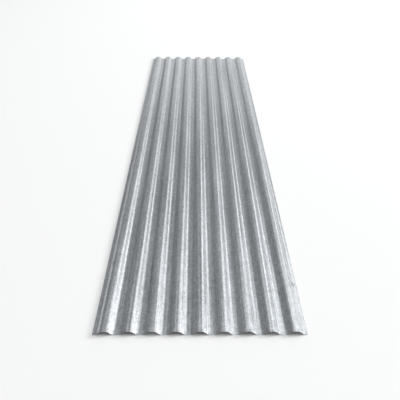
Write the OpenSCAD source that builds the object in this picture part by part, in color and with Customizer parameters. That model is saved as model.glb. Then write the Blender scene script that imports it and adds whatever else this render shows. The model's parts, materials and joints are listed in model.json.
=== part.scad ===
// Corrugated galvanised steel sheet: one roll-formed sheet lying flat, both long edges turned down.
// X runs across the corrugations, Y along them and Z up. The origin is the middle of the footprint,
// on the plane that the valleys rest on.

/* [Sheet] */
// Length of the sheet, along the corrugations
sheet_length = 2440; // [600:10:3660]
// Number of corrugations across the sheet, each a crest with half a valley on either side
corrugations = 9; // [3:1:12]
// Thickness of the steel with its zinc coating
thickness = 0.5; // [0.3:0.05:1]

/* [Corrugation] */
// Distance from one crest to the next
pitch = 73.9; // [72:0.1:78]
// Rise of the middle of the steel from valley to crest
depth = 15.5; // [15:0.5:18]
// Width of the flat run along the top of a crest and the bottom of a valley
land = 8; // [6:0.5:10]
// Slope of the straight flank between two bends, in degrees
flank_angle = 45; // [42:1:46]
// Number of chords in each bend
bend_steps = 5; // [3:1:10]

/* [Hidden] */

sheet_width = corrugations * pitch;
// Radius of every bend at the middle of the steel, so that lands, bends and flanks add up to half a pitch
bend_radius = (pitch / 2 - land - depth / tan(flank_angle)) / (2 * tan(flank_angle / 2));

// A station is [x, z, slope] at the middle of the steel.
// From the end of a valley's land, up the bends and the flank, to the start of the next crest's land
rising_flank = [
    for (step = [0:bend_steps])
        let (slope = flank_angle * step / bend_steps)
        [land / 2 + bend_radius * sin(slope), bend_radius * (1 - cos(slope)), slope],
    for (step = [bend_steps:-1:0])
        let (slope = flank_angle * step / bend_steps)
        [(pitch - land) / 2 - bend_radius * sin(slope), depth - bend_radius * (1 - cos(slope)), slope]
];

// One whole corrugation from valley to valley: the rising flank, then its mirror image
function corrugation() = let (last = len(rising_flank) - 1) [
    for (station = rising_flank) station,
    for (i = [last:-1:0])
        let (station = rising_flank[i])
        [pitch - station[0], station[1], -station[2]]
];

// The whole mid-line, from one edge in the bottom of a valley to the other
function mid_line() = [
    [0, 0, 0],
    for (i = [0:corrugations - 1], station = corrugation()) [station[0] + i * pitch, station[1], station[2]],
    [sheet_width, 0, 0]
];

// The point square off a station, this far above the middle of the steel
function offset_point(station, height) =
    [station[0] - height * sin(station[2]), station[1] + height * cos(station[2])];

module cross_section() {
    line = mid_line();
    last = len(line) - 1;
    polygon([
        for (station = line) offset_point(station, thickness / 2),
        for (i = [last:-1:0]) offset_point(line[i], -thickness / 2)
    ]);
}

module corrugated_sheet() {
    color([0.70, 0.72, 0.73])
        translate([-sheet_width / 2, sheet_length / 2, thickness / 2])
            rotate([90, 0, 0])
                linear_extrude(height = sheet_length)
                    cross_section();
}

corrugated_sheet();
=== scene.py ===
import json
import math

import bpy
import numpy as np
from mathutils import Matrix, Vector, noise


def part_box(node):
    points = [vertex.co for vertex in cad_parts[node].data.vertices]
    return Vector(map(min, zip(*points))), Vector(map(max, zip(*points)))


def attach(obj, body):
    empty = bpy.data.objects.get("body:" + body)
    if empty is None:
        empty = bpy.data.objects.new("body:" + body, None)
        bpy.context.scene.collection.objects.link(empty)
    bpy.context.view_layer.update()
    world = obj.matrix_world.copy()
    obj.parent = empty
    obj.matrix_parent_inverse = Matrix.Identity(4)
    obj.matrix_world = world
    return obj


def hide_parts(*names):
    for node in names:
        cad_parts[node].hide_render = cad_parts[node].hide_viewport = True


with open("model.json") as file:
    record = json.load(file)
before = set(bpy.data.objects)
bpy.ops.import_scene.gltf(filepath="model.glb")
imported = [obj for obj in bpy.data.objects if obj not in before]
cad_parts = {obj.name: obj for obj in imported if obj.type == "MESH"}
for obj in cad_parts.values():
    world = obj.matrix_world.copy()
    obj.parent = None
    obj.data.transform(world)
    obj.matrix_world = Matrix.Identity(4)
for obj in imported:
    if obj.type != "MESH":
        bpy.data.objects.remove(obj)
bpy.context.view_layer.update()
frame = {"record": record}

# ---------------------------------------------------------------------------
# The sheet's size, from the frame. Everything here is in metres.
# ---------------------------------------------------------------------------
SHEET_LOW, SHEET_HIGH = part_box("corrugated_sheet")
SHEET_LENGTH = SHEET_HIGH.y - SHEET_LOW.y
SHEET_WIDTH = SHEET_HIGH.x - SHEET_LOW.x
MOUNT_X = {mount["name"]: mount["pos_m"][0] for mount in frame["record"]["mounts"]}
PITCH = MOUNT_X["valley_seat_right"] - MOUNT_X["valley_seat_left"]
CORRUGATIONS = round(SHEET_WIDTH / PITCH)

THICKNESS = 0.0005
DEPTH = SHEET_HIGH.z - SHEET_LOW.z - THICKNESS
LAND = 0.008
FLANK_ANGLE = math.radians(45)
BEND_RADIUS = (PITCH / 2 - LAND - DEPTH / math.tan(FLANK_ANGLE)) / (2 * math.tan(FLANK_ANGLE / 2))
FLANK_LENGTH = (DEPTH - 2 * BEND_RADIUS * (1 - math.cos(FLANK_ANGLE))) / math.sin(FLANK_ANGLE)
DEVELOPED_WAVE = 2 * (LAND + 2 * BEND_RADIUS * FLANK_ANGLE + FLANK_LENGTH)

# How finely the mesh follows each stretch of the section, and the length
LAND_STEPS = 2
BEND_STEPS = 7
FLANK_STEPS = 3
ROW_STEP = 0.026

# Handling and rolling leave the steel slightly uneven
UNEVEN_HEIGHT = 0.00013
UNEVEN_ACROSS = 0.022
UNEVEN_ALONG = 0.19

# Corners sharper than this, such as those of the cut edges, are shaded as corners
SHARP_ANGLE = math.radians(60)

# The zinc: its mean colour and roughness, and how far its bumps rise
METAL_COLOUR = (0.520, 0.540, 0.557)
ROUGHNESS = 0.335
BUMP_HEIGHT = 0.0004

# Its crystals: the size of the large ones, and of the others as a share of that
SPANGLE = 0.0065
FINE_SPANGLE = 0.42

# Its noise: how wide across the sheet and how long along it the features are
GRAIN = (0.0030, 0.0034)
MOTTLE = (0.009, 0.028)
PATCHES = (0.09, 0.30)
ROLL_LINES = (0.0032, 0.7)
ROLL_BANDS = (0.0085, 1.5)

# On the cut edges and this far in from the sheet's ends the zinc is rubbed and rougher, and its colour is
# darkened there as painted shade that dims the highlight near the ends
WORN_AND_SHADED_WIDTH = 0.018
# Painted shade: how much darker the colour is on the cut edges and near the ends
PAINTED_END_SHADE = -0.12
WORN_ROUGHNESS = 0.07

# Small dark marks: the wave, how far across it (0 to 1), metres from the front end,
# size, how much darker
MARKS = (
    (9, 0.84, 0.207, 0.0062, 0.50),
    (1, 0.37, 0.296, 0.0060, 0.25),
)
# A mark is longer along the sheet than across it, fades out at this many times its size, and is rougher
MARK_STRETCH = 0.6
MARK_OUTSIDE = 1.9
MARK_ROUGHNESS = 0.08

# Shallow dents from handling: the wave, how far across it, metres from the front end, size and depth
DENTS = (
    (9, 0.56, 0.832, 0.016, 0.0015),
    (1, 0.36, 0.290, 0.010, 0.0010),
)
# A dent is longer along the sheet too, and has this many closer rows each side of its middle
DENT_STRETCH = 0.7
DENT_ROW_STEP = 0.005
DENT_ROWS = 5

# The lower side and the cut edges read another part of the finish's noise,
# so they don't copy the upper side
LOWER_SIDE_SHIFT = np.array([1.0, 0.0])
CUT_EDGE_SHIFT = np.array([0.0, 6.0])

# The bake map, from 0 to 1: its empty rim, what is left between the rims, how much of its height
# each side of the sheet takes, and where the four cut edges' strips start, their spacing and height
BAKE_RIM = 0.004
BAKE_SPAN = 0.992
BAKE_SIDE = 0.462
BAKE_UPPER_TOP = 0.966
BAKE_STRIPS = 0.4725
BAKE_STRIP_STEP = 0.0065
BAKE_STRIP_HEIGHT = 0.003


# ---------------------------------------------------------------------------
# Mesh
# ---------------------------------------------------------------------------
def half_wave():
    """Mid-line stations from mid-valley to the next mid-crest, as (run, x, z, slope)."""
    stations = []
    bend = BEND_RADIUS * FLANK_ANGLE
    for step in range(LAND_STEPS):
        run = LAND / 2 * step / LAND_STEPS
        stations.append((run, run, 0.0, 0.0))
    for step in range(BEND_STEPS):
        slope = FLANK_ANGLE * step / BEND_STEPS
        x = LAND / 2 + BEND_RADIUS * math.sin(slope)
        z = BEND_RADIUS * (1 - math.cos(slope))
        stations.append((LAND / 2 + BEND_RADIUS * slope, x, z, slope))
    foot_x = LAND / 2 + BEND_RADIUS * math.sin(FLANK_ANGLE)
    foot_z = BEND_RADIUS * (1 - math.cos(FLANK_ANGLE))
    for step in range(FLANK_STEPS):
        up = FLANK_LENGTH * step / FLANK_STEPS
        x = foot_x + up * math.cos(FLANK_ANGLE)
        z = foot_z + up * math.sin(FLANK_ANGLE)
        stations.append((LAND / 2 + bend + up, x, z, FLANK_ANGLE))
    for step in range(BEND_STEPS):
        slope = FLANK_ANGLE * (1 - step / BEND_STEPS)
        x = PITCH / 2 - LAND / 2 - BEND_RADIUS * math.sin(slope)
        z = DEPTH - BEND_RADIUS * (1 - math.cos(slope))
        stations.append((LAND / 2 + bend + FLANK_LENGTH + bend - BEND_RADIUS * slope, x, z, slope))
    for step in range(LAND_STEPS + 1):
        on = LAND / 2 * step / LAND_STEPS
        stations.append((LAND / 2 + 2 * bend + FLANK_LENGTH + on, PITCH / 2 - LAND / 2 + on, DEPTH, 0.0))
    return stations


def section():
    """The whole mid-line as an array of (run, x, z, slope), with x from the left edge to the right one."""
    rising = half_wave()
    half_run = rising[-1][0]
    stations = []
    for wave in range(CORRUGATIONS):
        start_run, start_x = 2 * half_run * wave, PITCH * wave
        for run, x, z, slope in rising:
            stations.append((start_run + run, start_x + x, z, slope))
        for run, x, z, slope in reversed(rising[1:-1]):
            stations.append((start_run + 2 * half_run - run, start_x + PITCH - x, z, -slope))
    stations.append((2 * half_run * CORRUGATIONS, PITCH * CORRUGATIONS, 0.0, 0.0))
    line = np.array(stations)
    line[:, 1] += SHEET_LOW.x
    line[:, 2] += SHEET_LOW.z + THICKNESS / 2
    return line


def rows():
    """Where the mesh's rows lie along the sheet: evenly, and closer together over a dent."""
    count = round(SHEET_LENGTH / ROW_STEP)
    even = np.linspace(SHEET_LOW.y, SHEET_HIGH.y, count + 1)
    extra = []
    for _, _, from_front, _, _ in DENTS:
        for step in range(-DENT_ROWS, DENT_ROWS + 1):
            extra.append(SHEET_LOW.y + from_front + step * DENT_ROW_STEP)
    return np.unique(np.round(np.concatenate([even, extra]), 6))


def unevenness(line, along):
    """How far the steel stands off its ideal section at each station and row."""
    lift = np.empty((len(along), len(line)))
    for j, y in enumerate(along):
        for i, (run, *_) in enumerate(line):
            place = Vector((run / UNEVEN_ACROSS, y / UNEVEN_ALONG, 0.0))
            lift[j, i] = noise.noise(place) + 0.5 * noise.noise(place * 2 + Vector((9, 4, 2)))
    lift = UNEVEN_HEIGHT * (lift - lift.min())
    for wave, across, from_front, size, depth in DENTS:
        off_run = line[None, :, 0] - DEVELOPED_WAVE * (wave - 1 + across)
        off_along = along[:, None] - (SHEET_LOW.y + from_front)
        lift -= depth * np.exp(-(off_run ** 2 + (DENT_STRETCH * off_along) ** 2) / size ** 2)
    return lift


def grid_faces(count_rows, count_line, first, flip):
    """Quads of a grid of vertices that starts at index first."""
    j, i = np.meshgrid(np.arange(count_rows - 1), np.arange(count_line - 1), indexing="ij")
    a = first + j * count_line + i
    quads = np.stack([a, a + 1, a + count_line + 1, a + count_line], axis=-1).reshape(-1, 4)
    return quads[:, ::-1] if flip else quads


def cut_edges(count_rows, count_line):
    """The upper side's outline as four runs of vertex numbers: front end, right side, back end, left side."""
    grid = np.arange(count_rows * count_line).reshape(count_rows, count_line)
    return [grid[0], grid[:, -1], grid[-1, ::-1], grid[::-1, 0]]


def sheet_mesh():
    line, along = section(), rows()
    lift = unevenness(line, along)
    normal_x, normal_z = -np.sin(line[:, 3]), np.cos(line[:, 3])
    sides = []
    for offset in (THICKNESS / 2, -THICKNESS / 2):
        off = offset + lift
        side = np.empty((len(along), len(line), 3))
        side[..., 0] = line[:, 1] + off * normal_x
        side[..., 1] = along[:, None]
        side[..., 2] = line[:, 2] + off * normal_z
        sides.append(side.reshape(-1, 3))
    count = len(along) * len(line)
    faces = [
        grid_faces(len(along), len(line), 0, False),
        grid_faces(len(along), len(line), count, True),
    ]
    for run in cut_edges(len(along), len(line)):
        faces.append(np.stack([run[:-1] + count, run[1:] + count, run[1:], run[:-1]], axis=-1))
    mesh = bpy.data.meshes.new("galvanised_sheet")
    mesh.from_pydata(np.concatenate(sides).tolist(), [], np.concatenate(faces).tolist())
    mesh.shade_smooth()
    mesh.set_sharp_from_angle(angle=SHARP_ANGLE)
    add_maps(mesh, faces, line, along)
    return mesh


def add_maps(mesh, faces, line, along):
    """flat_steel is in metres on the steel before it was rolled. OFBake fits everything into one square."""
    count = len(along) * len(line)
    flat_point = np.stack([np.tile(line[:, 0], len(along)), np.repeat(along, len(line))], axis=-1)
    across = flat_point[:, 0] / line[-1, 0]
    length = (flat_point[:, 1] - along[0]) / (along[-1] - along[0])
    bake_length = BAKE_RIM + BAKE_SPAN * length
    upper_bake = np.stack([bake_length, BAKE_UPPER_TOP - BAKE_SIDE * across], axis=-1)
    lower_bake = np.stack([bake_length, BAKE_RIM + BAKE_SIDE * across], axis=-1)
    flat = [flat_point[faces[0]], flat_point[faces[1] - count] + LOWER_SIDE_SHIFT]
    bake = [upper_bake[faces[0]], lower_bake[faces[1] - count]]
    for strip, quads in enumerate(faces[2:]):
        outer, inner = flat_point[quads[:, 2:]], flat_point[quads[:, :2] - count] + THICKNESS
        flat.append(np.concatenate([inner, outer], axis=1) + CUT_EDGE_SHIFT)
        far = BAKE_RIM + BAKE_SPAN * (np.arange(len(quads)) + 1) / len(quads)
        near = far - BAKE_SPAN / len(quads)
        low = np.full(len(quads), BAKE_STRIPS + BAKE_STRIP_STEP * strip)
        high = low + BAKE_STRIP_HEIGHT
        corners = [(near, low), (far, low), (far, high), (near, high)]
        bake.append(np.stack([np.stack(corner, axis=-1) for corner in corners], axis=1))
    for name, points in (("flat_steel", flat), ("OFBake", bake)):
        layer = mesh.uv_layers.new(name=name)
        layer.data.foreach_set("uv", np.concatenate([p.reshape(-1, 2) for p in points]).ravel())


# ---------------------------------------------------------------------------
# Finish
# ---------------------------------------------------------------------------
class Nodes:
    """A short way to write a material's nodes. Sizes are in metres on the flat steel."""

    def __init__(self, material):
        material.use_nodes = True
        self.tree = material.node_tree
        self.shader = self.tree.nodes["Principled BSDF"]

    def add(self, kind, inputs=(), **settings):
        """A new node. Each input is a number, a vector or the output of another node."""
        made = self.tree.nodes.new(kind)
        for name, value in settings.items():
            setattr(made, name, value)
        for name, value in dict(inputs).items():
            if isinstance(value, bpy.types.NodeSocket):
                self.tree.links.new(value, made.inputs[name])
            else:
                made.inputs[name].default_value = value
        return made

    def sum(self, *terms):
        """The sum of (output, amount) pairs, each output centred on nought first."""
        total = 0.0
        for output, amount in terms:
            centred = self.add("ShaderNodeMath", {0: output, 1: 0.5}, operation="SUBTRACT").outputs[0]
            inputs = {0: centred, 1: amount, 2: total}
            total = self.add("ShaderNodeMath", inputs, operation="MULTIPLY_ADD").outputs[0]
        return total

    def blend(self, value, where, amount):
        """value with amount added where where is 1."""
        inputs = {0: where, 1: amount, 2: value}
        return self.add("ShaderNodeMath", inputs, operation="MULTIPLY_ADD").outputs[0]

    def plus(self, output, number):
        return self.add("ShaderNodeMath", {0: output, 1: number}, operation="ADD").outputs[0]

    def stretched(self, place, across, along, shift=0.0):
        """place, measured in units of across and along."""
        inputs = {0: place, 1: (1 / across, 1 / along, 1), 2: (shift, shift, shift)}
        return self.add("ShaderNodeVectorMath", inputs, operation="MULTIPLY_ADD").outputs[0]

    def clouds(self, place, size, shift=0.0, detail=2.0):
        """Soft noise around 0.5. size is how wide across the sheet and how long along it."""
        inputs = {"Vector": self.stretched(place, *size, shift), "Scale": 1.0, "Detail": detail}
        return self.add("ShaderNodeTexNoise", inputs, noise_dimensions="2D").outputs["Fac"]

    def crystals(self, place, size):
        """Cells of that size, each with three random numbers from 0 to 1, as a node's R, G and B."""
        inputs = {"Vector": self.stretched(place, size, size), "Scale": 1.0}
        cells = self.add("ShaderNodeTexVoronoi", inputs, voronoi_dimensions="2D", feature="F1")
        return self.add("ShaderNodeSeparateColor", {"Color": cells.outputs["Color"]})


def warped(nodes, place, amount, size):
    """place, pushed about by noise, so that crystals get feathery edges."""
    inputs = {"Vector": nodes.stretched(place, size, size), "Scale": 1.0, "Detail": 3.0}
    push = nodes.add("ShaderNodeTexNoise", inputs, noise_dimensions="2D").outputs["Color"]
    half = (0.5, 0.5, 0.5)
    centred = nodes.add("ShaderNodeVectorMath", {0: push, 1: half}, operation="SUBTRACT").outputs[0]
    inputs = {0: centred, 1: (amount, amount, 0), 2: place}
    return nodes.add("ShaderNodeVectorMath", inputs, operation="MULTIPLY_ADD").outputs[0]


def wear_and_painted_shade_places(nodes, place):
    """1 on the cut edges, which CUT_EDGE_SHIFT puts past the ends, and at the ends themselves.

    It falls to 0 over WORN_AND_SHADED_WIDTH in from each end.
    """
    # One mask for both the rubbed wear (roughness) and the painted shade (darker colour)
    along = nodes.add("ShaderNodeSeparateXYZ", {0: place}).outputs["Y"]
    from_middle = nodes.add("ShaderNodeMath", {0: along}, operation="ABSOLUTE").outputs[0]
    inputs = {"Value": from_middle, "From Min": SHEET_HIGH.y - WORN_AND_SHADED_WIDTH, "From Max": SHEET_HIGH.y}
    return nodes.add("ShaderNodeMapRange", inputs, interpolation_type="SMOOTHSTEP").outputs[0]


def mark(nodes, place, ragged, wave, across, along, size):
    """1 in the middle of a handling mark and 0 outside it. along is from the front end."""
    middle = (DEVELOPED_WAVE * (wave - 1 + across), SHEET_LOW.y + along, 0)
    away = nodes.add("ShaderNodeVectorMath", {0: place, 1: middle}, operation="SUBTRACT").outputs[0]
    stretch = (1, MARK_STRETCH, 1)
    away = nodes.add("ShaderNodeVectorMath", {0: away, 1: stretch}, operation="MULTIPLY").outputs[0]
    distance = nodes.add("ShaderNodeVectorMath", {0: away}, operation="LENGTH").outputs["Value"]
    inputs = {0: ragged, 1: size, 2: distance}
    uneven = nodes.add("ShaderNodeMath", inputs, operation="MULTIPLY_ADD").outputs[0]
    inputs = {"Value": uneven, "From Min": size * MARK_OUTSIDE, "From Max": size}
    return nodes.add("ShaderNodeMapRange", inputs, interpolation_type="SMOOTHSTEP").outputs[0]


def galvanised():
    """Hot-dip zinc: fine spangle under soft mottling, with faint lines along the sheet from the rolls."""
    material = bpy.data.materials.new("galvanised_steel")
    nodes = Nodes(material)
    place = nodes.add("ShaderNodeUVMap", uv_map="flat_steel").outputs[0]
    feathered = warped(nodes, place, SPANGLE * 0.9, SPANGLE * 1.4)
    spangle = nodes.crystals(feathered, SPANGLE)
    fine = nodes.crystals(feathered, SPANGLE * FINE_SPANGLE)
    grain = nodes.clouds(place, GRAIN)
    mottle = nodes.clouds(place, MOTTLE, shift=7.0, detail=4.0)
    patches = nodes.clouds(place, PATCHES, shift=3.0)
    lines = nodes.clouds(place, ROLL_LINES, shift=11.0)
    bands = nodes.clouds(place, ROLL_BANDS, shift=5.0)

    shade = nodes.sum(
        (spangle.outputs["Red"], 0.24),
        (fine.outputs["Red"], 0.20),
        (grain, 0.72),
        (mottle, 0.36),
        (patches, 0.12),
        (lines, 0.86),
        (bands, 0.22),
    )
    rough = nodes.sum((spangle.outputs["Green"], 0.05), (patches, 0.10), (bands, 0.06))
    wear_and_shade = wear_and_painted_shade_places(nodes, place)
    # Painted shade: the colour is darkened on the cut edges and near the ends, dimming the highlight there
    shade = nodes.blend(shade, wear_and_shade, PAINTED_END_SHADE)
    rough = nodes.blend(rough, wear_and_shade, WORN_ROUGHNESS)
    for wave, across, along, size, darkening in MARKS:
        here = mark(nodes, place, grain, wave, across, along, size)
        shade = nodes.blend(shade, here, -darkening)
        rough = nodes.blend(rough, here, MARK_ROUGHNESS)

    inputs = {0: METAL_COLOUR, "Scale": nodes.plus(shade, 1.0)}
    colour = nodes.add("ShaderNodeVectorMath", inputs, operation="SCALE").outputs[0]
    height = nodes.sum((grain, 0.3), (mottle, 0.5), (lines, 0.15))
    bump = nodes.add("ShaderNodeBump", {"Height": height, "Strength": 1.0, "Distance": BUMP_HEIGHT})

    tree, shader = nodes.tree, nodes.shader
    tree.links.new(colour, shader.inputs["Base Color"])
    tree.links.new(nodes.plus(rough, ROUGHNESS), shader.inputs["Roughness"])
    tree.links.new(bump.outputs[0], shader.inputs["Normal"])
    shader.inputs["Metallic"].default_value = 1.0
    return material


def make_sheet():
    sheet = bpy.data.objects.new("galvanised_sheet", sheet_mesh())
    bpy.context.scene.collection.objects.link(sheet)
    sheet.data.materials.append(galvanised())
    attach(sheet, "root")
    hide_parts("corrugated_sheet")


# ---------------------------------------------------------------------------
# Studio
# ---------------------------------------------------------------------------
# The floor reaches this far from the middle, and lies just under the sheet
FLOOR_HALF = 30.0
FLOOR_GAP = 0.0002
FLOOR_COLOUR = (0.88, 0.88, 0.88, 1)

# The sky's brightness behind the sheet and in front of it, where the camera stands, and the part of
# the way from front (-1) to back (1) over which it changes
SKY_COLOUR = (0.97, 0.985, 1, 1)
SKY_BEHIND = 0.356
SKY_IN_FRONT = 0.20
SKY_FADE_START = -0.6
SKY_FADE_END = 0.1

# Soft lights: name, azimuth and elevation in degrees, distance, width and height in metres, radiance
LIGHTS = (
    ("low_key_on_the_right", 76, 20, 32, 8.5, 6, 60.0),
    ("overhead", 150, 84, 22, 22, 22, 1.6),
    ("strip_behind_on_the_right", 40, 39, 7.5, 3.2, 7, 1.5),
    ("horizon_behind", 5, 12, 12, 9.5, 4.5, 0.83),
)

# The camera: lens in millimetres, where it stands in metres, and its turn in degrees
LENS = 40.46
CAMERA_AT = (-0.012, -2.079, 1.163)
CAMERA_LEFT = -0.57
CAMERA_DOWN = 36.83
CAMERA_ROLL = 0.41


def make_floor():
    mesh = bpy.data.meshes.new("floor")
    z = SHEET_LOW.z - FLOOR_GAP
    signs = ((-1, -1), (1, -1), (1, 1), (-1, 1))
    corners = [(x * FLOOR_HALF, y * FLOOR_HALF, z) for x, y in signs]
    mesh.from_pydata(corners, [], [(0, 1, 2, 3)])
    floor = bpy.data.objects.new("floor", mesh)
    bpy.context.scene.collection.objects.link(floor)
    material = bpy.data.materials.new("pale_floor")
    material.use_nodes = True
    shader = material.node_tree.nodes["Principled BSDF"]
    shader.inputs["Base Color"].default_value = FLOOR_COLOUR
    shader.inputs["Roughness"].default_value = 1.0
    shader.inputs["Specular IOR Level"].default_value = 0.0
    mesh.materials.append(material)


def softbox(name, azimuth, elevation, distance, width, height, radiance):
    """A flat light that faces the sheet's middle. Azimuth is from +Y towards +X."""
    turn, rise = math.radians(azimuth), math.radians(elevation)
    towards = Vector((math.sin(turn) * math.cos(rise), math.cos(turn) * math.cos(rise), math.sin(rise)))
    data = bpy.data.lights.new(name, "AREA")
    data.shape = "RECTANGLE"
    data.size, data.size_y = width, height
    data.energy = math.pi * width * height * radiance
    light = bpy.data.objects.new(name, data)
    bpy.context.scene.collection.objects.link(light)
    light.location = distance * towards
    light.rotation_euler = (-towards).to_track_quat("-Z", "Y").to_euler()


def make_lights():
    for light in LIGHTS:
        softbox(*light)


def make_world():
    """A plain pale studio, darker in front of the sheet than behind it."""
    world = bpy.data.worlds.new("studio")
    bpy.context.scene.world = world
    world.use_nodes = True
    nodes, links = world.node_tree.nodes, world.node_tree.links
    direction = nodes.new("ShaderNodeTexCoord").outputs["Generated"]
    split = nodes.new("ShaderNodeSeparateXYZ")
    fade = nodes.new("ShaderNodeMapRange")
    fade.interpolation_type = "SMOOTHSTEP"
    fade.inputs["From Min"].default_value = SKY_FADE_START
    fade.inputs["From Max"].default_value = SKY_FADE_END
    fade.inputs["To Min"].default_value = SKY_IN_FRONT
    fade.inputs["To Max"].default_value = SKY_BEHIND
    background = nodes["Background"]
    background.inputs["Color"].default_value = SKY_COLOUR
    links.new(direction, split.inputs[0])
    links.new(split.outputs["Y"], fade.inputs["Value"])
    links.new(fade.outputs[0], background.inputs["Strength"])


def make_camera():
    data = bpy.data.cameras.new("camera")
    data.sensor_width = 36.0
    data.lens = LENS
    camera = bpy.data.objects.new("camera", data)
    bpy.context.scene.collection.objects.link(camera)
    left, down, roll = (math.radians(turn) for turn in (CAMERA_LEFT, CAMERA_DOWN, CAMERA_ROLL))
    level = Vector((-math.sin(left), math.cos(left), 0))
    forward = math.cos(down) * level - math.sin(down) * Vector((0, 0, 1))
    right = Vector((math.cos(left), math.sin(left), 0))
    up = right.cross(forward)
    rolled_right = math.cos(roll) * right + math.sin(roll) * up
    rolled_up = -math.sin(roll) * right + math.cos(roll) * up
    turn = Matrix((rolled_right, rolled_up, -forward)).transposed()
    camera.matrix_world = Matrix.Translation(CAMERA_AT) @ turn.to_4x4()
    bpy.context.scene.camera = camera


make_camera()
make_world()
make_floor()
make_lights()
bpy.context.scene.view_settings.view_transform = "Standard"
make_sheet()
